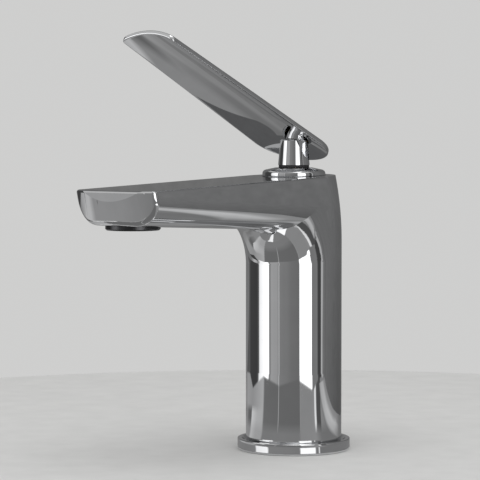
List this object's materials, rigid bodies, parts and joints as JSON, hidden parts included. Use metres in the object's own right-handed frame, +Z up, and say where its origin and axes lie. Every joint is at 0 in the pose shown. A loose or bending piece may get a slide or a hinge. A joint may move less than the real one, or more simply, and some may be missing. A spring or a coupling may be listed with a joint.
{
  "type": "bathroom mixer faucet",
  "caption": "Chrome single-lever basin mixer: round column bending into a flat-topped spout, domed leaf lever that lifts and swivels on a short post, aerator, deck clamp.",
  "frame": {"origin": "centre of the column's foot on the deck plane, under the gasket", "axes": "+Z up along the column, -Y towards the spout's mouth, +X to the user's right as they face the mouth"},
  "size_m": [0.054, 0.1619, 0.2528],
  "materials": {
    "chrome": "polished chrome plate on brass",
    "brass": "machined",
    "steel": "stainless",
    "rubber": "matt",
    "plastic": "moulded acetal",
    "ceramic": "lapped ceramic"
  },
  "bodies": {
    "root": {"mixer_body": "chrome", "base_ring": "chrome", "deck_gasket": "rubber", "inlet_manifold": "brass", "manifold_screws": "steel", "mounting_stud": "steel", "clamp_pad": "rubber", "clamp_plate": "steel", "stud_nut": "brass", "cartridge_base": "plastic", "inlet_seals": "rubber", "fixed_disc": "ceramic", "cartridge_housing": "plastic", "housing_seal": "rubber", "thrust_washer": "plastic", "cartridge_nut": "brass", "cover_cap": "chrome", "aerator_housing": "chrome", "aerator_screen": "plastic", "aerator_insert": "plastic", "aerator_washer": "rubber"},
    "swivel": {"stem_rotor": "plastic", "stem_pin": "steel", "lever_yoke": "brass", "pivot_pin": "steel", "lever_post": "chrome", "post_screw": "steel"},
    "lever": {"lever_blade": "chrome", "lever_knuckle": "steel", "pivot_bushes": "plastic"},
    "stem": {"control_stem": "steel"},
    "slider": {"disc_carrier": "plastic", "moving_disc": "ceramic"}
  },
  "joints": [
    {"name": "lever_swivel", "type": "hinge", "parent": "root", "child": "swivel", "pos_m": [0, 0, 0.1275], "axis": [0, 0, 1], "range_deg": [-50, 50]},
    {"name": "lever_lift", "type": "hinge", "parent": "swivel", "child": "lever", "pos_m": [0, 0, 0.1455], "axis": [1, 0, 0], "range_deg": [0, 24]},
    {"name": "stem_tilt", "type": "hinge", "parent": "swivel", "child": "stem", "pos_m": [0, 0, 0.1195], "axis": [1, 0, 0], "range_deg": [-12.72, 0]},
    {"name": "disc_slide", "type": "slide", "parent": "swivel", "child": "slider", "axis": [0, 1, 0], "range_m": [-0.00233, 0]}
  ],
  "couplings": [
    {"joint": "stem_tilt", "follows": "lever_lift", "ratio": -0.52941},
    {"joint": "disc_slide", "follows": "lever_lift", "m_per_rad": -0.0055474}
  ]
}
